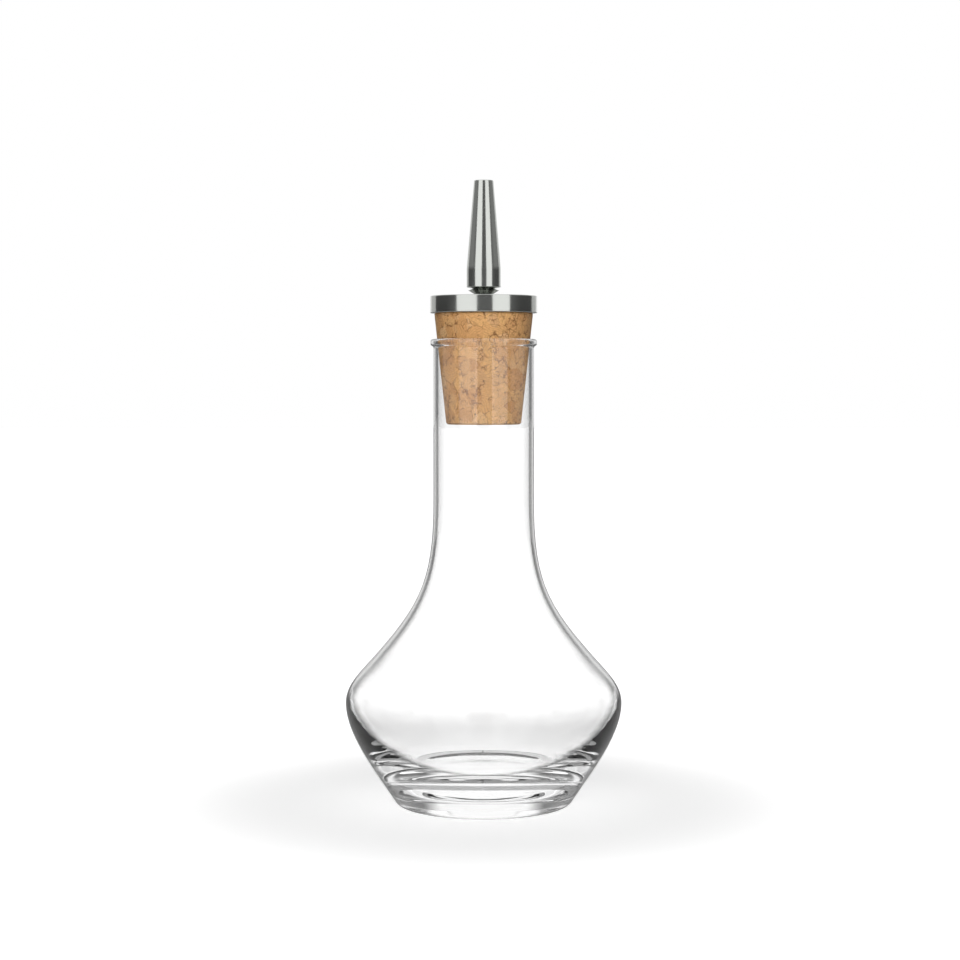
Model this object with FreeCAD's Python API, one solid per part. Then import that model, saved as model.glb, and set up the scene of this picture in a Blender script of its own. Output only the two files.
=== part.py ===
# Bitters bottle: a blown clear-glass bottle with a slim neck, a low conical belly
# and a thick base, stopped by a tapered cork that carries a steel dasher top.
#
# Millimetres. +Z is up along the axis that every piece is turned about, and the
# origin is the centre of the base, on the plane that the bottle stands on.
import FreeCAD, Part
import math
import os

from FreeCAD import Vector

# ---- glass bottle: overall sizes --------------------------------------------
bottle_height = 118.0       # table to the top of the lip
belly_radius = 35.0         # widest place
belly_height = 26.0         # height of the widest place
neck_radius = 12.7          # outside of the straight neck
neck_foot_height = 78.0     # where the straight neck starts to flare

# ---- glass bottle: outside curves -------------------------------------------
shoulder_inset = 7.8        # the point where the flare turns into the belly,
shoulder_rise = 12.25       # in from and above the widest place
shoulder_slope = 41.1       # degrees from the axis, at that point
neck_flare = 20.4           # how softly the neck runs into the shoulder
shoulder_run = 17.4         # how far the shoulder stays straight, upwards
shoulder_turn = 6.5         # how far it stays straight, downwards
belly_round_up = 4.4        # how full the belly is above its widest place
belly_round_down = 7.5      # how full it is below
base_slope = 33.4           # degrees from the axis, where the wall meets the heel
base_run = 10.0             # how far the wall stays straight above the heel
heel_corner_radius = 21.9   # where wall and table would meet without the heel
heel_round = 2.5            # rounding of the heel
ring_width = 3.0            # flat ring that the bottle stands on
punt_depth = 0.6            # shallow hollow inside that ring

# ---- glass bottle: wall, bowl and floor -------------------------------------
neck_wall = 0.95
shoulder_wall = 1.05
belly_wall = 1.3
base_thickness = 5.8        # solid glass under the middle of the floor
floor_radius = 11.0         # nearly flat middle of the inside floor
floor_rise = 0.25           # how much its rim stands above its centre
bowl_lift = 0.5             # inside is widest this much above the outside
bowl_turn = 6.0             # the inside's shoulder_turn, belly_round_up and _down
bowl_round_up = 4.2
bowl_round_down = 6.5
bowl_floor_run = 13.0       # how far the bowl runs out level from the floor

# ---- glass bottle: lip ------------------------------------------------------
lip_overhang = 0.75         # how far the lip stands out from the neck
lip_height = 1.1            # upright part of the lip, with its top rounding
lip_swell = 1.2             # soft run from the neck out to the lip
lip_top_round = 0.6
mouth_round = 0.5           # rounded inner edge of the mouth

# ---- cork -------------------------------------------------------------------
cork_length = 28.0
cork_oversize = 0.7         # the cork's top is this much wider than the mouth
cork_narrowing = 3.0        # loss of radius from its top to its bottom
cork_top_chamfer = 0.25
cork_bottom_chamfer = 0.4
cork_clearance = 0.05       # between the cork's side and the mouth's edge

# ---- steel cap plate --------------------------------------------------------
plate_overhang = 1.05       # beyond the cork's top
plate_thickness = 4.3
plate_edge_break = 0.2

# ---- steel dasher spout -----------------------------------------------------
spout_height = 26.8         # foot of the barrel to the tip
spout_tip_radius = 2.45
spout_base_radius = 4.3
barrel_height = 4.8         # straight part below the taper
taper_blend = 12.0          # radius that blends the taper into the barrel
tip_round = 0.25
barrel_edge_break = 0.15
groove_depth = 1.6          # groove under the barrel, in from its side
groove_drop = 0.35          # height of the groove's slanted roof
collar_inset = 0.4          # sharp-edged collar below, in from the barrel's side
collar_drop = 0.45          # height of the groove's slanted floor
cone_drop = 1.2             # cone from the collar in to the foot
foot_drop = 0.2             # thin foot that stands on the cap plate
foot_step = 0.25            # the foot is this much wider than the spigot
pour_radius = 1.1           # passage drilled up through the spigot and the barrel
dash_radius = 0.75          # small hole at the tip, for dashes and not a stream
dash_length = 8.0           # depth of that hole
drill_point = 59.0          # degrees from the axis of the cone that the drill leaves
dash_edge_break = 0.25
spigot_wall = 0.6
spigot_clearance = 0.05     # between the spigot and the holes that it fills
spigot_recess = 0.5         # the spigot ends this much inside the cork

# ---- sizes that follow ------------------------------------------------------
mouth_radius = neck_radius - neck_wall
cork_top_radius = mouth_radius + cork_oversize
cork_taper = cork_narrowing / cork_length
plate_radius = cork_top_radius + plate_overhang
spigot_radius = pour_radius + spigot_wall
spigot_hole = spigot_radius + spigot_clearance


def point(radius, height):
    """A point of an outline that is turned about Z."""
    return Vector(radius, 0, height)


def polar(angle, length=1.0):
    """A step of a given length, at an angle in radians from +X towards +Z."""
    return Vector(math.cos(angle), 0, math.sin(angle)) * length


def line(start, end):
    return Part.LineSegment(start, end).toShape()


def bezier(*poles):
    curve = Part.BezierCurve()
    curve.setPoles(list(poles))
    return curve.toShape()


def arc(centre, radius, start_angle, end_angle):
    """An arc about a centre, between two angles in radians from +X towards +Z."""
    middle = (start_angle + end_angle) / 2
    return Part.Arc(centre + polar(start_angle, radius), centre + polar(middle, radius),
                    centre + polar(end_angle, radius)).toShape()


def corners(*points):
    """Straight lines from each point to the next."""
    return [line(start, end) for start, end in zip(points, points[1:])]


def turned(edges):
    """The solid that a closed outline makes when it is turned about Z."""
    face = Part.Face(Part.Wire(edges))
    return face.revolve(Vector(0, 0, 0), Vector(0, 0, 1), 360)


def shoulder(neck, turning_point, turn, widest, round_up):
    """The two curves from a neck, through the shoulder's turning point, to a belly."""
    fall = polar(math.radians(shoulder_slope - 90))
    upper = bezier(point(neck, neck_foot_height), point(neck, neck_foot_height - neck_flare),
                   turning_point - fall * shoulder_run, turning_point)
    lower = bezier(turning_point, turning_point + fall * turn,
                   widest + Vector(0, 0, round_up), widest)
    return [upper, lower]


def underside():
    """The punt, the standing ring and the heel, and the direction of the wall above."""
    climb = math.radians(90 - base_slope)
    setback = heel_round * math.tan(climb / 2)
    ring_edge = heel_corner_radius - setback
    punt_radius = ring_edge - ring_width
    punt_ball = (punt_radius ** 2 + punt_depth ** 2) / (2 * punt_depth)
    edges = [arc(point(0, punt_depth - punt_ball), punt_ball,
                 math.pi / 2, math.acos(punt_radius / punt_ball)),
             line(point(punt_radius, 0), point(ring_edge, 0)),
             arc(point(ring_edge, heel_round), heel_round, -math.pi / 2, climb - math.pi / 2)]
    return edges, point(heel_corner_radius, 0) + polar(climb, setback), polar(climb)


def lip():
    """From the neck's side, round the lip, into the mouth."""
    lip_radius = neck_radius + lip_overhang
    lip_foot = bottle_height - lip_height
    swell_foot = lip_foot - lip_swell
    fullness = Vector(0, 0, lip_swell * 0.6)
    rim_corner = point(lip_radius - lip_top_round, bottle_height - lip_top_round)
    mouth_corner = point(mouth_radius + mouth_round, bottle_height - mouth_round)
    return [bezier(point(neck_radius, swell_foot), point(neck_radius, swell_foot) + fullness,
                   point(lip_radius, lip_foot) - fullness, point(lip_radius, lip_foot)),
            line(point(lip_radius, lip_foot), point(lip_radius, rim_corner.z)),
            arc(rim_corner, lip_top_round, 0, math.pi / 2),
            line(point(rim_corner.x, bottle_height), point(mouth_corner.x, bottle_height)),
            arc(mouth_corner, mouth_round, math.pi / 2, math.pi)]


def glass_bottle():
    """One blown wall: thin at the neck and shoulder, thick below the belly."""
    edges, wall_foot, wall_climb = underside()

    # Outside: heel to belly, belly to shoulder, shoulder to neck.
    widest = point(belly_radius, belly_height)
    turning_point = widest + Vector(-shoulder_inset, 0, shoulder_rise)
    edges.append(bezier(wall_foot, wall_foot + wall_climb * base_run,
                        widest - Vector(0, 0, belly_round_down), widest))
    edges += reversed(shoulder(neck_radius, turning_point, shoulder_turn, widest,
                               belly_round_up))
    swell_foot = bottle_height - lip_height - lip_swell
    edges.append(line(point(neck_radius, neck_foot_height), point(neck_radius, swell_foot)))
    edges += lip()

    # Inside: down the neck, out over the shoulder, round the bowl to the floor.
    into_wall = polar(math.radians(shoulder_slope), shoulder_wall)
    bowl_widest = point(belly_radius - belly_wall, belly_height + bowl_lift)
    floor_edge = point(floor_radius, base_thickness + floor_rise)
    edges.append(line(point(mouth_radius, bottle_height - mouth_round),
                      point(mouth_radius, neck_foot_height)))
    edges += shoulder(mouth_radius, turning_point - into_wall, bowl_turn, bowl_widest,
                      bowl_round_up)
    edges.append(bezier(bowl_widest, bowl_widest - Vector(0, 0, bowl_round_down),
                        floor_edge + Vector(bowl_floor_run, 0, 0), floor_edge))
    edges.append(bezier(floor_edge, floor_edge - Vector(floor_radius / 2, 0, 0),
                        point(floor_radius / 3, base_thickness), point(0, base_thickness)))
    edges.append(line(point(0, base_thickness), point(0, punt_depth)))
    return turned(edges)


def cork_seat_height():
    """Height of the cork's top once its side rests on the mouth's rounded edge."""
    lean = math.atan(cork_taper)
    touch_height = bottle_height - mouth_round * (1 - math.sin(lean))
    touch_radius = (mouth_radius + mouth_round * (1 - math.cos(lean))
                    - cork_clearance / math.cos(lean))
    return touch_height + (cork_top_radius - touch_radius) / cork_taper


def cork_stopper(top):
    """A tapered plug with broken edges, bored for the spigot."""
    bottom = top - cork_length
    bottom_radius = cork_top_radius - cork_narrowing
    return turned(corners(
        point(spigot_hole, bottom),
        point(bottom_radius - cork_bottom_chamfer, bottom),
        point(bottom_radius + cork_taper * cork_bottom_chamfer, bottom + cork_bottom_chamfer),
        point(cork_top_radius - cork_taper * cork_top_chamfer, top - cork_top_chamfer),
        point(cork_top_radius - cork_top_chamfer, top),
        point(spigot_hole, top),
        point(spigot_hole, bottom)))


def cap_plate(bottom):
    """A turned disc with broken edges that covers the cork."""
    top = bottom + plate_thickness
    return turned(corners(
        point(spigot_hole, bottom),
        point(plate_radius - plate_edge_break, bottom),
        point(plate_radius, bottom + plate_edge_break),
        point(plate_radius, top - plate_edge_break),
        point(plate_radius - plate_edge_break, top),
        point(spigot_hole, top),
        point(spigot_hole, bottom)))


def dasher_spout(plate_top, cork_bottom):
    """A tapered barrel over a groove, a collar and a thin foot, with its spigot below."""
    collar = plate_top + foot_drop + cone_drop
    groove = collar + collar_drop
    barrel = groove + groove_drop
    tip = barrel + spout_height
    foot_radius = spigot_radius + foot_step
    spigot_end = cork_bottom + spigot_recess

    # The blend is tangent to the barrel below it and to the taper above it.
    taper_foot = point(spout_base_radius, barrel + barrel_height)
    taper_height = spout_height - barrel_height
    lean = math.atan((spout_base_radius - spout_tip_radius) / taper_height)
    blend_foot = taper_foot - Vector(0, 0, taper_blend * math.tan(lean / 2))
    blend_centre = blend_foot - Vector(taper_blend, 0, 0)
    tip_centre = point(spout_tip_radius - tip_round, tip - tip_round)
    drill_cone = (pour_radius - dash_radius) / math.tan(math.radians(drill_point))

    edges = corners(
        point(pour_radius, spigot_end),
        point(spigot_radius, spigot_end),
        point(spigot_radius, plate_top),
        point(foot_radius, plate_top),
        point(foot_radius, plate_top + foot_drop),
        point(spout_base_radius - collar_inset, collar),
        point(spout_base_radius - groove_depth, groove),
        point(spout_base_radius - barrel_edge_break, barrel),
        point(spout_base_radius, barrel + barrel_edge_break),
        blend_foot)
    edges.append(arc(blend_centre, taper_blend, 0, lean))
    edges.append(line(blend_centre + polar(lean, taper_blend),
                      tip_centre + polar(lean, tip_round)))
    edges.append(arc(tip_centre, tip_round, lean, math.pi / 2))
    edges += corners(
        point(tip_centre.x, tip),
        point(dash_radius + dash_edge_break, tip),
        point(dash_radius, tip - dash_edge_break),
        point(dash_radius, tip - dash_length),
        point(pour_radius, tip - dash_length - drill_cone),
        point(pour_radius, spigot_end))
    return turned(edges)


cork_top = cork_seat_height()
pieces = {
    "glass_bottle": glass_bottle(),
    "cork_stopper": cork_stopper(cork_top),
    "cap_plate": cap_plate(cork_top),
    "dasher_spout": dasher_spout(cork_top + plate_thickness, cork_top - cork_length),
}

os.makedirs("parts", exist_ok=True)
for name, shape in pieces.items():
    shape.exportStep("parts/" + name + ".step")
    box = shape.BoundBox
    print("%-13s %s, valid %s, %.1f mm3, z %.2f to %.2f, radius %.2f"
          % (name, shape.ShapeType, shape.isValid(), shape.Volume,
             box.ZMin, box.ZMax, box.XMax))
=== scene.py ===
import math

import bpy
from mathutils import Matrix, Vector


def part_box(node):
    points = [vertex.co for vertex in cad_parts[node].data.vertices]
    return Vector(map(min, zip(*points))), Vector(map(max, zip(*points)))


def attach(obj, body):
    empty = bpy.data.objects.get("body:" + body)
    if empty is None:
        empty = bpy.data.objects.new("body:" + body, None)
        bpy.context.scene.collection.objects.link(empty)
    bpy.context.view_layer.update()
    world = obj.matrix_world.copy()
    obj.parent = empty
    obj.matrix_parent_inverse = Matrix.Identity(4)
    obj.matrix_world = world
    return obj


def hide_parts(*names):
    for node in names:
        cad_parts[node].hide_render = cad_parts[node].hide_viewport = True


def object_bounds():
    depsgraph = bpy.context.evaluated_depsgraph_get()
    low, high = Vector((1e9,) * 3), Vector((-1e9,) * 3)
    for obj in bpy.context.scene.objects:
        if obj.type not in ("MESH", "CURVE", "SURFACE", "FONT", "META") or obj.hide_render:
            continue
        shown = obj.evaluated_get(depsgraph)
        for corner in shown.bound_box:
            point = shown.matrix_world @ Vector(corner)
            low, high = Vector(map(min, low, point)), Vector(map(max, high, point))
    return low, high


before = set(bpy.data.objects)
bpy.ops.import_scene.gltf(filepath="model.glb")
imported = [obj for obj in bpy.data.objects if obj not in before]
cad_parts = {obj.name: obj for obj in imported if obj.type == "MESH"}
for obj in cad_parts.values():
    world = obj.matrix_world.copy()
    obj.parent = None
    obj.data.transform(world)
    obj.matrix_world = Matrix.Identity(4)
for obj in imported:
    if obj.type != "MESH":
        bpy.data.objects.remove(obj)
cad_low, cad_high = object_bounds()
mm = 0.001

# --- Camera -------------------------------------------------------------------
# A long lens a little over half a metre away, level with the top third of the
# bottle and tipped slightly down, so that the base is seen from above.
camera_distance = 550 * mm
camera_height = 108.5 * mm
camera_side = -0.93 * mm
camera_tip = math.radians(2.715)
camera_lens = 81.6

bpy.ops.object.camera_add(location=(camera_side, -camera_distance, camera_height),
                          rotation=(math.radians(90) - camera_tip, 0, 0))
camera = bpy.context.object
camera.data.sensor_width = 36
camera.data.lens = camera_lens
camera.data.clip_start = 10 * mm
camera.data.clip_end = 100
bpy.context.scene.camera = camera

# --- Glass bottle ---------------------------------------------------------------
# One piece of blown soda-lime glass, thin at the neck and thick in the base, with a
# fire-polished lip. Its wall is turned from one outline, which runs from the middle
# of the underside, up the outside, over the lip and down the inside to the floor.
glass_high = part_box("glass_bottle")[1]
bottle_height = glass_high.z
belly_radius = glass_high.x
belly_height = 26.0 * mm
neck_radius = 12.7 * mm
neck_foot_height = 78.0 * mm
neck_flare = 20.4 * mm
shoulder_inset = 7.8 * mm
shoulder_rise = 12.25 * mm
shoulder_slope = 41.1
shoulder_run = 17.4 * mm
shoulder_turn = 6.5 * mm
belly_round_up = 4.4 * mm
belly_round_down = 7.5 * mm
base_slope = 33.4
base_run = 10.0 * mm
heel_corner_radius = 21.9 * mm
heel_round = 2.5 * mm
ring_width = 3.0 * mm
punt_depth = 0.6 * mm
neck_wall = 0.95 * mm
shoulder_wall = 1.05 * mm
belly_wall = 1.3 * mm
base_thickness = 5.8 * mm
floor_radius = 11.0 * mm
floor_rise = 0.25 * mm
bowl_lift = 0.5 * mm
bowl_turn = 6.0 * mm
bowl_round_up = 4.2 * mm
bowl_round_down = 6.5 * mm
bowl_floor_run = 13.0 * mm
lip_overhang = 0.75 * mm
lip_height = 1.1 * mm
lip_swell = 1.2 * mm
lip_swell_round = lip_swell * 0.6
lip_top_round = 0.6 * mm
mouth_round = 0.5 * mm
glass_ior = 1.5
# Where a wall seen edge on turns to a painted grey, and how dark that grey gets.
painted_edge_starts = 0.64
painted_edge_darkest = 0.86
painted_edge_grey = 0.03
shadow_tint = (0.93, 0.93, 0.93, 1)


def arc_handle(radius, degrees):
    """Length of the curve handle that makes an arc of that radius and turn."""
    return 4 / 3 * math.tan(math.radians(degrees) / 4) * radius


def turned_piece(name, outline, smooth_steps, turn_steps, crease=30):
    """A piece as a lathe makes it: an outline is drawn as a curve and spun about Z.
    Each entry is radius, height, direction in degrees, and the handle before and after."""
    bpy.ops.object.select_all(action="DESELECT")
    bpy.ops.curve.primitive_bezier_curve_add(location=(0, 0, 0))
    piece = bpy.context.object
    piece.name = piece.data.name = name
    piece.data.resolution_u = smooth_steps
    spline = piece.data.splines[0]
    spline.bezier_points.add(len(outline) - len(spline.bezier_points))
    for knot, (radius, height, heading, before, after) in zip(spline.bezier_points, outline):
        along = Vector((math.cos(math.radians(heading)), 0, math.sin(math.radians(heading))))
        knot.handle_left_type = knot.handle_right_type = "FREE"
        knot.co = (radius, 0, height)
        knot.handle_left = knot.co - along * before
        knot.handle_right = knot.co + along * after
    bpy.ops.object.convert(target="MESH")
    bpy.ops.object.mode_set(mode="EDIT")
    bpy.ops.mesh.select_all(action="SELECT")
    bpy.ops.mesh.remove_doubles(threshold=0.001 * mm)
    bpy.ops.mesh.spin(steps=turn_steps, angle=2 * math.pi, center=(0, 0, 0), axis=(0, 0, 1))
    bpy.ops.mesh.select_all(action="SELECT")
    bpy.ops.mesh.remove_doubles(threshold=0.001 * mm)
    bpy.ops.mesh.normals_make_consistent(inside=False)
    bpy.ops.object.mode_set(mode="OBJECT")
    bpy.ops.object.shade_smooth_by_angle(angle=math.radians(crease))
    return piece


climb = 90 - base_slope
heel_setback = heel_round * math.tan(math.radians(climb / 2))
ring_edge = heel_corner_radius - heel_setback
punt_radius = ring_edge - ring_width
punt_ball = (punt_radius ** 2 + punt_depth ** 2) / (2 * punt_depth)
punt_turn = math.degrees(math.asin(punt_radius / punt_ball))
wall_foot = Vector((heel_corner_radius + heel_setback * math.cos(math.radians(climb)), 0,
                    heel_setback * math.sin(math.radians(climb))))
turning_point = Vector((belly_radius - shoulder_inset, 0, belly_height + shoulder_rise))
into_wall = Vector((math.cos(math.radians(shoulder_slope)), 0,
                    math.sin(math.radians(shoulder_slope)))) * shoulder_wall
inner_turning_point = turning_point - into_wall
mouth_radius = neck_radius - neck_wall
lip_radius = neck_radius + lip_overhang
lip_foot = bottle_height - lip_height

bottle = turned_piece("clear_glass_bottle", [
    (0, punt_depth, 0, 0, arc_handle(punt_ball, punt_turn)),
    (punt_radius, 0, -punt_turn, arc_handle(punt_ball, punt_turn), 0),
    (ring_edge, 0, 0, 0, arc_handle(heel_round, climb)),
    (wall_foot.x, wall_foot.z, climb, arc_handle(heel_round, climb), base_run),
    (belly_radius, belly_height, 90, belly_round_down, belly_round_up),
    (turning_point.x, turning_point.z, 90 + shoulder_slope, shoulder_turn, shoulder_run),
    (neck_radius, neck_foot_height, 90, neck_flare, 0),
    (neck_radius, lip_foot - lip_swell, 90, 0, lip_swell_round),
    (lip_radius, lip_foot, 90, lip_swell_round, 0),
    (lip_radius, bottle_height - lip_top_round, 90, 0, arc_handle(lip_top_round, 90)),
    (lip_radius - lip_top_round, bottle_height, 180, arc_handle(lip_top_round, 90), 0),
    (mouth_radius + mouth_round, bottle_height, 180, 0, arc_handle(mouth_round, 90)),
    (mouth_radius, bottle_height - mouth_round, 270, arc_handle(mouth_round, 90), 0),
    (mouth_radius, neck_foot_height, 270, 0, neck_flare),
    (inner_turning_point.x, inner_turning_point.z, 270 + shoulder_slope, shoulder_run,
     bowl_turn),
    (belly_radius - belly_wall, belly_height + bowl_lift, 270, bowl_round_up,
     bowl_round_down),
    (floor_radius, base_thickness + floor_rise, 180, bowl_floor_run, floor_radius / 2),
    (0, base_thickness, 180, floor_radius / 3, 0),
], smooth_steps=14, turn_steps=256)


def tree_step(tree, kind, settings, **inputs):
    """Adds one node to a tree, with its settings, and its inputs as values or links. An
    input goes by its name, or by its number after an underscore."""
    step = tree.nodes.new(kind)
    for setting, value in settings.items():
        setattr(step, setting, value)
    for name, value in inputs.items():
        socket = step.inputs[int(name[1:])] if name[0] == "_" else step.inputs[name]
        if isinstance(value, bpy.types.NodeSocket):
            tree.links.new(value, socket)
        else:
            socket.default_value = value
    return step


def graded(tree, value, low, high, at_low=0.0, at_high=1.0, ease="LINEAR"):
    """Goes from one level to another while a value goes from low to high."""
    step = tree_step(tree, "ShaderNodeMapRange", {"interpolation_type": ease}, Value=value,
                     _1=low, _2=high, _3=at_low, _4=at_high)
    return step.outputs[0]


def reckoned(tree, operation, *values):
    """One step of arithmetic on numbers, or on what other nodes give."""
    slots = {"_%d" % number: value for number, value in enumerate(values)}
    return tree_step(tree, "ShaderNodeMath", {"operation": operation}, **slots).outputs[0]


clear_glass = bpy.data.materials.new("clear_glass")
clear_glass.use_nodes = True
tree = clear_glass.node_tree
shader = tree.nodes["Principled BSDF"]
shader.inputs["Transmission Weight"].default_value = 1
shader.inputs["Roughness"].default_value = 0
shader.inputs["IOR"].default_value = glass_ior
# Seen edge on, a wall is looked along and not through; there the glass's colour turns to a
# painted grey that draws a dark line.
slant = tree.nodes.new("ShaderNodeLayerWeight").outputs["Facing"]
painted_edge_line = graded(tree, slant, painted_edge_starts, painted_edge_darkest, 1.0, painted_edge_grey, "SMOOTHSTEP")
tree.links.new(painted_edge_line, shader.inputs["Base Color"])
# Light passes straight through on its way to the table, so the shadow is faint.
path = tree.nodes.new("ShaderNodeLightPath")
let_through = tree_step(tree, "ShaderNodeBsdfTransparent", {}, Color=shadow_tint)
choose = tree_step(tree, "ShaderNodeMixShader", {}, _0=path.outputs["Is Shadow Ray"],
                   _1=shader.outputs[0], _2=let_through.outputs[0])
tree.links.new(choose.outputs[0], tree.nodes["Material Output"].inputs["Surface"])
bottle.data.materials.append(clear_glass)
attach(bottle, "root")
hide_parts("glass_bottle")

# --- Cork stopper -----------------------------------------------------------------
# A tapered plug of agglomerated cork, granules pressed and glued in a rod and ground
# to a cone. It is bored for the spigot and rests in the bottle's mouth.
cork_low, cork_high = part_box("cork_stopper")
cork_oversize = 0.7 * mm
cork_narrowing = 3.0 * mm
cork_top_edge = 0.25 * mm
cork_bottom_edge = 0.4 * mm
spigot_hole = 1.75 * mm
cork_top_radius = mouth_radius + cork_oversize
cork_bottom_radius = cork_top_radius - cork_narrowing
cork_taper = cork_narrowing / (cork_high.z - cork_low.z)
side_rings = 112
end_rings = 20

granule_scale = 330.0
chip_scale = 900.0
growth_scale = 650.0
pit_scale = 300.0
seam_width = 0.045
chip_width = 0.13
seam_depth = 0.05 * mm
pit_depth = 0.3 * mm
seam_brown = (0.150, 0.055, 0.018, 1)
# The pits' colour is partly the cork's own dark specks and partly painted shade in the
# hollow.
pit_speck_and_shade = (0.060, 0.022, 0.010, 1)
granule_browns = ((0.3, (0.62, 0.335, 0.130, 1)), (0.55, (0.66, 0.375, 0.145, 1)),
                  (0.8, (0.56, 0.310, 0.130, 1)))
darkest_granule = (0.50, 0.250, 0.090, 1)
palest_granule = (0.68, 0.410, 0.190, 1)


def straight_run(start, end, steps):
    """Knots evenly spaced along a straight side of an outline, without its end."""
    return [(*(start + (end - start) * step / steps).xz, 0, 0, 0) for step in range(steps)]


side_foot = Vector((cork_bottom_radius + cork_taper * cork_bottom_edge, 0,
                    cork_low.z + cork_bottom_edge))
side_top = Vector((cork_top_radius - cork_taper * cork_top_edge, 0,
                   cork_high.z - cork_top_edge))
bottom_rim = Vector((cork_bottom_radius - cork_bottom_edge, 0, cork_low.z))
top_rim = Vector((cork_top_radius - cork_top_edge, 0, cork_high.z))
bottom_hole = Vector((spigot_hole, 0, cork_low.z))
top_hole = Vector((spigot_hole, 0, cork_high.z))
cork = turned_piece("cork_stopper_cone", (
    straight_run(bottom_hole, bottom_rim, end_rings) + straight_run(bottom_rim, side_foot, 2)
    + straight_run(side_foot, side_top, side_rings) + straight_run(side_top, top_rim, 2)
    + straight_run(top_rim, top_hole, end_rings)
    + straight_run(top_hole, bottom_hole, 1) + [(*bottom_hole.xz, 0, 0, 0)]
), smooth_steps=1, turn_steps=300)


def cork_pattern(tree, place):
    """How the rod was pressed: granules, the glued seams between them, the growth lines
    that run each granule's own way, and small pits. The same pattern gives the relief
    and the colour, so each is worked out from a place in metres."""
    stir = tree_step(tree, "ShaderNodeTexNoise", {}, Vector=place, Scale=260.0, Detail=2.0)
    centred = tree_step(tree, "ShaderNodeVectorMath", {"operation": "SUBTRACT"},
                        _0=stir.outputs["Color"], _1=(0.5, 0.5, 0.5))
    shift = tree_step(tree, "ShaderNodeVectorMath", {"operation": "SCALE"},
                      _0=centred.outputs[0], Scale=2.4 * mm)
    stirred = tree_step(tree, "ShaderNodeVectorMath", {"operation": "ADD"},
                        _0=place, _1=shift.outputs[0]).outputs[0]

    def lines_between(scale, width):
        """The borders between cells, fading over a width that is a share of a cell."""
        border = tree_step(tree, "ShaderNodeTexVoronoi", {"feature": "DISTANCE_TO_EDGE"},
                           Vector=stirred, Scale=scale)
        return graded(tree, border.outputs["Distance"], 0.0, width, 1.0, 0.0, "SMOOTHSTEP")

    granule = tree_step(tree, "ShaderNodeTexVoronoi", {"feature": "F1"},
                        Vector=stirred, Scale=granule_scale)
    own_way = tree_step(tree, "ShaderNodeVectorMath", {"operation": "SCALE"},
                        _0=granule.outputs["Color"], Scale=2 * math.pi)
    turned_place = tree_step(tree, "ShaderNodeVectorRotate", {"rotation_type": "EULER_XYZ"},
                             Vector=stirred, Rotation=own_way.outputs[0])
    growth = tree_step(tree, "ShaderNodeTexWave", {"wave_profile": "SAW"},
                       Vector=turned_place.outputs[0], Scale=growth_scale, Distortion=3.0,
                       Detail=2.0)
    pit_cell = tree_step(tree, "ShaderNodeTexVoronoi", {"feature": "F1"},
                         Vector=stirred, Scale=pit_scale)
    return {
        "granule": granule.outputs["Color"],
        "seam": lines_between(granule_scale, seam_width),
        "chip": lines_between(chip_scale, chip_width),
        "growth": graded(tree, growth.outputs["Fac"], 0.72, 1.0, ease="SMOOTHSTEP"),
        "pit": graded(tree, pit_cell.outputs["Distance"], 0.03, 0.12, 1.0, 0.0, "SMOOTHSTEP"),
    }


# The relief: seams and pits are pressed in along the surface's own normal.
relief = bpy.data.node_groups.new("cork_relief", "GeometryNodeTree")
relief.interface.new_socket("Geometry", in_out="INPUT", socket_type="NodeSocketGeometry")
relief.interface.new_socket("Geometry", in_out="OUTPUT", socket_type="NodeSocketGeometry")
enter = relief.nodes.new("NodeGroupInput")
leave = relief.nodes.new("NodeGroupOutput")
marks = cork_pattern(relief, relief.nodes.new("GeometryNodeInputPosition").outputs[0])
pressed = reckoned(relief, "MULTIPLY", marks["seam"], -seam_depth)
pitted = reckoned(relief, "MULTIPLY_ADD", marks["pit"], -pit_depth, pressed)
sink = tree_step(relief, "ShaderNodeVectorMath", {"operation": "SCALE"},
                 _0=relief.nodes.new("GeometryNodeInputNormal").outputs[0], Scale=pitted)
press = tree_step(relief, "GeometryNodeSetPosition", {}, Geometry=enter.outputs[0],
                  Offset=sink.outputs[0])
relief.links.new(press.outputs[0], leave.inputs[0])
modifier = cork.modifiers.new("relief", "NODES")
modifier.node_group = relief
bpy.ops.object.modifier_apply(modifier=modifier.name)

cork_look = bpy.data.materials.new("cork")
cork_look.use_nodes = True
tree = cork_look.node_tree
shader = tree.nodes["Principled BSDF"]
place = tree.nodes.new("ShaderNodeTexCoord").outputs["Object"]
marks = cork_pattern(tree, place)
shade = tree_step(tree, "ShaderNodeSeparateColor", {}, Color=marks["granule"])
tones = tree_step(tree, "ShaderNodeValToRGB", {}, _0=shade.outputs["Red"])
tones.color_ramp.elements[0].color = darkest_granule
tones.color_ramp.elements[1].color = palest_granule
for at, brown in granule_browns:
    tones.color_ramp.elements.new(at).color = brown
grain = tree_step(tree, "ShaderNodeTexNoise", {}, Vector=place, Scale=2600.0, Detail=3.0)
uneven = graded(tree, grain.outputs["Fac"], 0.3, 0.7, 0.84, 1.10)
grained = tree_step(tree, "ShaderNodeVectorMath", {"operation": "SCALE"},
                    _0=tones.outputs[0], Scale=uneven)


def darker_where(colour, mask, strength, line_colour):
    """Paints a line colour over a colour where a mask is on."""
    paint = tree_step(tree, "ShaderNodeMix", {"data_type": "RGBA"},
                      Factor=reckoned(tree, "MULTIPLY", mask, strength))
    tree.links.new(colour, paint.inputs["A"])
    paint.inputs["B"].default_value = line_colour
    return paint.outputs["Result"]


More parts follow.
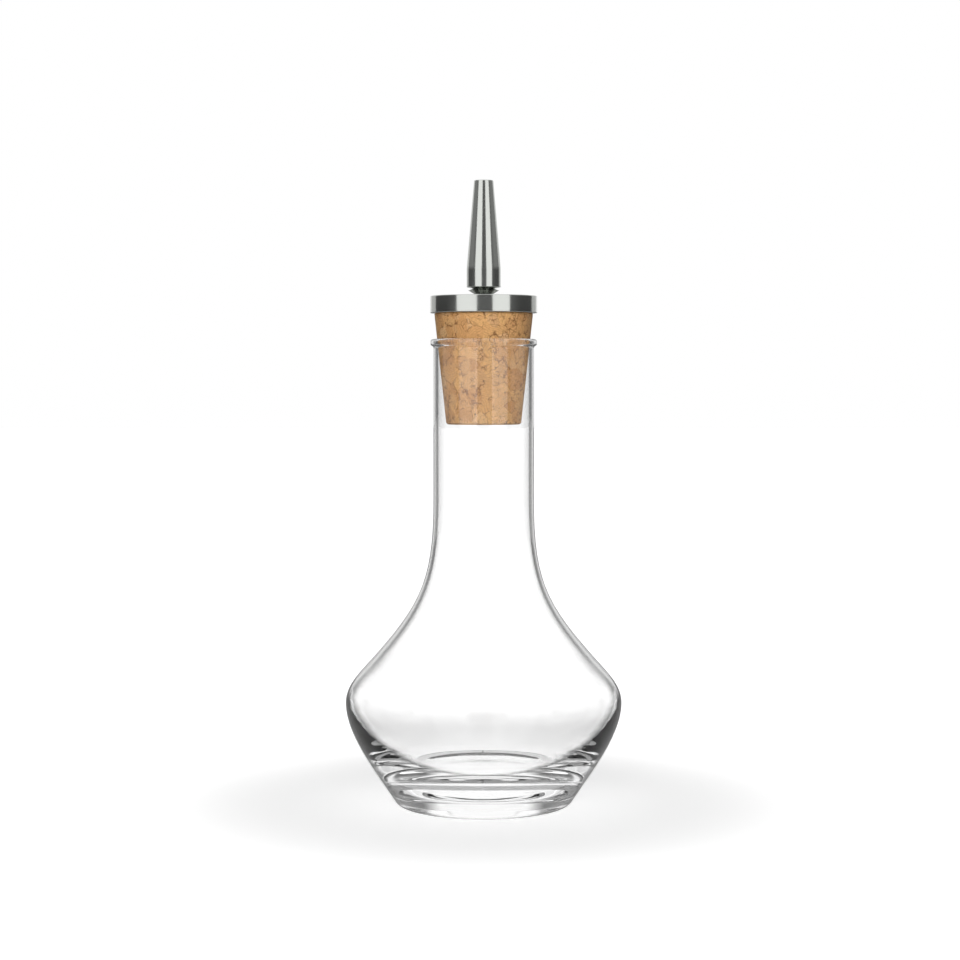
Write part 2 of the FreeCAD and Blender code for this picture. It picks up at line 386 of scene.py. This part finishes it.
# The lines show only in short lengths, and the chips' lines only in some patches.
breaks = tree_step(tree, "ShaderNodeTexNoise", {}, Vector=place, Scale=620.0, Detail=1.0)
short = graded(tree, breaks.outputs["Fac"], 0.46, 0.60, ease="SMOOTHSTEP")
patches = tree_step(tree, "ShaderNodeTexNoise", {}, Vector=place, Scale=170.0, Detail=3.0)
here_and_there = graded(tree, patches.outputs["Fac"], 0.36, 0.54)
seams_here = reckoned(tree, "MULTIPLY", marks["seam"], short)
chips_short = reckoned(tree, "MULTIPLY", marks["chip"], short)
chips_here = reckoned(tree, "MULTIPLY", chips_short, here_and_there)
colour = darker_where(grained.outputs[0], marks["growth"], 0.40, seam_brown)
colour = darker_where(colour, chips_here, 0.85, seam_brown)
colour = darker_where(colour, seams_here, 0.75, seam_brown)
# Dark specks and painted shade: the pits are painted near black where the relief sinks them.
colour = darker_where(colour, marks["pit"], 0.9, pit_speck_and_shade)
tree.links.new(colour, shader.inputs["Base Color"])
shader.inputs["Roughness"].default_value = 0.78
fine = reckoned(tree, "MULTIPLY_ADD", marks["growth"], -0.4, grain.outputs["Fac"])
bump = tree_step(tree, "ShaderNodeBump", {}, Strength=0.5, Distance=0.04 * mm, Height=fine)
tree.links.new(bump.outputs[0], shader.inputs["Normal"])
cork.data.materials.append(cork_look)
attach(cork, "root")
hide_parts("cork_stopper")

# --- Steel cap plate ----------------------------------------------------------------
# A disc turned from stainless steel bar and polished, with its edges just broken. It
# covers the cork and is held by the spout's spigot.
plate_low, plate_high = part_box("cap_plate")
plate_radius = plate_high.x
plate_edge = 0.2 * mm

plate = turned_piece("steel_cap_plate", [
    (spigot_hole, plate_low.z, 0, 0, 0),
    (plate_radius - plate_edge, plate_low.z, 0, 0, arc_handle(plate_edge, 90)),
    (plate_radius, plate_low.z + plate_edge, 90, arc_handle(plate_edge, 90), 0),
    (plate_radius, plate_high.z - plate_edge, 90, 0, arc_handle(plate_edge, 90)),
    (plate_radius - plate_edge, plate_high.z, 180, arc_handle(plate_edge, 90), 0),
    (spigot_hole, plate_high.z, 180, 0, 0),
    (spigot_hole, plate_low.z, 270, 0, 0),
], smooth_steps=8, turn_steps=192)

# The tool left rings about the axis, by radius on a face and by height on a side.
steel = bpy.data.materials.new("polished_steel")
steel.use_nodes = True
tree = steel.node_tree
shader = tree.nodes["Principled BSDF"]
shader.inputs["Base Color"].default_value = (0.510, 0.523, 0.500, 1)
shader.inputs["Metallic"].default_value = 1
place = tree.nodes.new("ShaderNodeTexCoord").outputs["Object"]
across = tree_step(tree, "ShaderNodeSeparateXYZ", {}, Vector=place)
flat = tree_step(tree, "ShaderNodeCombineXYZ", {}, X=across.outputs["X"],
                 Y=across.outputs["Y"])
from_axis = tree_step(tree, "ShaderNodeVectorMath", {"operation": "LENGTH"},
                      _0=flat.outputs[0])
lathe_place = tree_step(tree, "ShaderNodeCombineXYZ", {}, X=from_axis.outputs["Value"],
                        Y=across.outputs["Z"])
rings = tree_step(tree, "ShaderNodeTexNoise", {"noise_dimensions": "2D"},
                  Vector=lathe_place.outputs[0], Scale=5200.0, Detail=2.0)
smudge = tree_step(tree, "ShaderNodeTexNoise", {}, Vector=place, Scale=120.0, Detail=3.0)
tree.links.new(graded(tree, smudge.outputs["Fac"], 0.3, 0.7, 0.10, 0.17),
               shader.inputs["Roughness"])
bump = tree_step(tree, "ShaderNodeBump", {}, Strength=0.25, Distance=0.002 * mm,
                 Height=rings.outputs["Fac"])
tree.links.new(bump.outputs[0], shader.inputs["Normal"])
plate.data.materials.append(steel)
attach(plate, "root")
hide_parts("cap_plate")

# --- Steel dasher spout ---------------------------------------------------------------
# A tapered barrel turned from stainless steel over a groove, a sharp collar and a thin
# foot. The pour bore runs right through, and the spigot under the foot is pressed
# through the plate and the cork.
spout_low, spout_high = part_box("dasher_spout")
tip = spout_high.z
base_radius = spout_high.x
tip_radius = 2.45 * mm
tip_round = 0.25 * mm
barrel_height = 4.8 * mm
spout_height = 26.8 * mm
blend_radius = 12 * mm
barrel_edge = 0.15 * mm
groove_depth = 1.6 * mm
collar_inset = 0.4 * mm
collar_drop = 0.45 * mm
cone_drop = 1.2 * mm
foot_drop = 0.2 * mm
pour_radius = 1.1 * mm
dash_radius = 0.75 * mm
dash_length = 8.0 * mm
dash_edge = 0.25 * mm
drill_point = 59
spigot_radius = 1.7 * mm
foot_radius = 1.95 * mm
drill_cone = (pour_radius - dash_radius) / math.tan(math.radians(drill_point))
groove_radius = base_radius - groove_depth
collar_radius = base_radius - collar_inset
foot_top = plate_high.z + foot_drop
collar = foot_top + cone_drop
groove = collar + collar_drop
barrel = tip - spout_height
lean = math.degrees(math.atan((base_radius - tip_radius) / (spout_height - barrel_height)))
blend_foot = barrel + barrel_height - blend_radius * math.tan(math.radians(lean / 2))
blend_top = Vector((base_radius - blend_radius * (1 - math.cos(math.radians(lean))), 0,
                    blend_foot + blend_radius * math.sin(math.radians(lean))))
tip_side = Vector((tip_radius - tip_round * (1 - math.cos(math.radians(lean))), 0,
                   tip - tip_round * (1 - math.sin(math.radians(lean)))))

spout = turned_piece("steel_dasher_spout", [
    (spigot_radius, spout_low.z, 0, 0, 0),
    (spigot_radius, plate_high.z, 0, 0, 0),
    (foot_radius, plate_high.z, 0, 0, 0),
    (foot_radius, foot_top, 0, 0, 0),
    (collar_radius, collar, 0, 0, 0),
    (groove_radius, groove, 0, 0, 0),
    (base_radius - barrel_edge, barrel, 0, 0, arc_handle(barrel_edge, 90)),
    (base_radius, barrel + barrel_edge, 90, arc_handle(barrel_edge, 90), 0),
    (base_radius, blend_foot, 90, 0, arc_handle(blend_radius, lean)),
    (blend_top.x, blend_top.z, 90 + lean, arc_handle(blend_radius, lean), 0),
    (tip_side.x, tip_side.z, 90 + lean, 0, arc_handle(tip_round, 90 - lean)),
    (tip_radius - tip_round, tip, 180, arc_handle(tip_round, 90 - lean), 0),
    (dash_radius + dash_edge, tip, 180, 0, arc_handle(dash_edge, 90)),
    (dash_radius, tip - dash_edge, 270, arc_handle(dash_edge, 90), 0),
    (dash_radius, tip - dash_length, 270, 0, 0),
    (pour_radius, tip - dash_length - drill_cone, 270, 0, 0),
    (pour_radius, spout_low.z, 270, 0, 0),
    (spigot_radius, spout_low.z, 0, 0, 0),
], smooth_steps=10, turn_steps=128)
spout.data.materials.append(steel)
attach(spout, "root")
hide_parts("dasher_spout")

# --- Table --------------------------------------------------------------------------
# A wide white table top, which is stage and not part of the object. Near the bottle its glow
# is lower, a painted soft shade that holds the lamps' real shadow too; beyond, it is as white
# as the room behind it.
table_size = 8.0
shadow_reach = 0.045
white_from = 0.13
glow_in_painted_shade = 0.45
near_table = 0.3
far_table = 0.8
window_starts = -0.37
window_full = 0.31
between_windows = 0.12


def four_windows(tree, parts):
    """White in four directions with grey between: the cosine of four times the azimuth is
    1 in the middle of a window and -1 between two."""
    azimuth = reckoned(tree, "ARCTAN2", parts.outputs["Y"], parts.outputs["X"])
    four_fold = reckoned(tree, "COSINE", reckoned(tree, "MULTIPLY", azimuth, 4.0))
    return graded(tree, four_fold, window_starts, window_full, between_windows, 1.0)


def seen_in_glass(tree, path):
    """Is 1 for a ray that looks through the glass. A ray that has left the cork and then
    crossed the glass carries light and isn't a look, so it gives 0."""
    looking = reckoned(tree, "LESS_THAN", path.outputs["Diffuse Depth"], 0.5)
    return reckoned(tree, "MULTIPLY", path.outputs["Is Transmission Ray"], looking)


bpy.ops.object.select_all(action="DESELECT")
bpy.ops.mesh.primitive_plane_add(size=table_size, location=(0, 0, cad_low.z))
table = bpy.context.object
table.name = "table_top"
table_white = bpy.data.materials.new("table_white")
table_white.use_nodes = True
tree = table_white.node_tree
shader = tree.nodes["Principled BSDF"]
shader.inputs["Base Color"].default_value = (0.85, 0.85, 0.85, 1)
shader.inputs["Roughness"].default_value = 0.6
shader.inputs["Specular IOR Level"].default_value = 0.2
shader.inputs["Emission Color"].default_value = (1, 1, 1, 1)
path = tree.nodes.new("ShaderNodeLightPath")
place = tree.nodes.new("ShaderNodeTexCoord").outputs["Object"]
away = tree_step(tree, "ShaderNodeVectorMath", {"operation": "LENGTH"}, _0=place)
# The glow is lower within shadow_reach of the bottle and full from white_from: painted shade
# round the base.
lift = graded(tree, away.outputs["Value"], shadow_reach, white_from, glow_in_painted_shade, 1.0,
              "SMOOTHSTEP")
# Painted light: through the glass the table glows white where the bottle stands, and further
# out its glow is painted with the room's four windows, grey between them.
parts = tree_step(tree, "ShaderNodeSeparateXYZ", {}, Vector=place)
near = graded(tree, away.outputs["Value"], near_table, far_table, 1.0, 0.0, "SMOOTHSTEP")
kept = reckoned(tree, "MAXIMUM", four_windows(tree, parts), near)
pick = tree_step(tree, "ShaderNodeMix", {}, Factor=path.outputs["Is Transmission Ray"],
                 A=lift, B=reckoned(tree, "MULTIPLY", kept, lift))
seen = reckoned(tree, "MAXIMUM", path.outputs["Is Camera Ray"], seen_in_glass(tree, path))
tree.links.new(reckoned(tree, "MULTIPLY", seen, pick.outputs[0]),
               shader.inputs["Emission Strength"])
table.data.materials.append(table_white)

# --- Studio light -------------------------------------------------------------------
# Two tall soft boxes in front that the steel and the glass mirror, a key light between them
# that they don't, two weaker boxes behind, and a room that is white to the eye.
middle = Vector((0, 0, 90 * mm))


def soft_box(name, azimuth, distance, height, width, tall, radiance, lights, mirrors):
    """A tall rectangle of light that faces the bottle, its azimuth counted from the front.
    One that lights falls on matt things, and one that mirrors shows in steel and glass.
    The glass hides those behind it, so that they aren't seen through it."""
    turn = math.radians(azimuth)
    place = Vector((math.sin(turn) * distance, -math.cos(turn) * distance, height))
    bpy.ops.object.light_add(type="AREA", location=place)
    box = bpy.context.object
    box.name = name
    box.data.shape = "RECTANGLE"
    box.data.size = width
    box.data.size_y = tall
    box.data.energy = radiance * math.pi * width * tall
    box.rotation_mode = "QUATERNION"
    box.rotation_quaternion = (middle - place).to_track_quat("-Z", "Y")
    box.visible_camera = False
    box.visible_transmission = mirrors and abs(azimuth) < 90
    box.visible_glossy = mirrors
    box.visible_diffuse = lights


soft_box("front_left_box", azimuth=-37, distance=0.7, height=0.30, width=0.62, tall=0.9,
         radiance=1.25, lights=False, mirrors=True)
soft_box("front_right_box", azimuth=38, distance=0.7, height=0.30, width=0.52, tall=0.9,
         radiance=1.25, lights=False, mirrors=True)
soft_box("front_key", azimuth=-2, distance=0.8, height=0.35, width=0.4, tall=0.5,
         radiance=9.6, lights=True, mirrors=False)
for name, azimuth in (("back_left_box", -143), ("back_right_box", 143)):
    soft_box(name, azimuth, distance=0.9, height=0.30, width=0.6, tall=0.9,
             radiance=0.6, lights=True, mirrors=True)

# The room is white to the eye, has four windows when looked at through the glass, and
# when mirrored it is grey in front, with a white wall behind and a white ceiling.
white = 1.0
room_light = 0.07
front_grey = 0.17
low_side_grey = 0.05
high_side_grey = 0.33

world = bpy.data.worlds.new("studio")
bpy.context.scene.world = world
world.use_nodes = True
tree = world.node_tree
path = tree.nodes.new("ShaderNodeLightPath")
direction = tree.nodes.new("ShaderNodeTexCoord").outputs["Generated"]
parts = tree_step(tree, "ShaderNodeSeparateXYZ", {}, Vector=direction)
overhead = graded(tree, parts.outputs["Z"], 0.75, 0.95)
through_glass = reckoned(tree, "MAXIMUM", four_windows(tree, parts), overhead)
sides = graded(tree, parts.outputs["Z"], 0.02, 0.16, low_side_grey, high_side_grey)
mirrored = graded(tree, parts.outputs["Y"], -0.55, -0.1, front_grey, sides)
backdrop = graded(tree, parts.outputs["Y"], 0.86, 0.97)
ceiling = graded(tree, parts.outputs["Z"], 0.45, 0.75)
in_mirrors = reckoned(tree, "MAXIMUM", reckoned(tree, "MAXIMUM", mirrored, backdrop),
                      ceiling)
by_glossy = tree_step(tree, "ShaderNodeMix", {}, Factor=path.outputs["Is Glossy Ray"],
                      A=room_light, B=in_mirrors)
by_glass = tree_step(tree, "ShaderNodeMix", {}, Factor=seen_in_glass(tree, path),
                     A=by_glossy.outputs[0], B=through_glass)
by_camera = tree_step(tree, "ShaderNodeMix", {}, Factor=path.outputs["Is Camera Ray"],
                      A=by_glass.outputs[0], B=white)
tree.links.new(by_camera.outputs[0], tree.nodes["Background"].inputs["Color"])

bpy.context.scene.view_settings.view_transform = "Standard"
# Light is followed through the thick base until it comes out again.
bpy.context.scene.cycles.max_bounces = 24
bpy.context.scene.cycles.transmission_bounces = 24
bpy.context.scene.cycles.glossy_bounces = 8
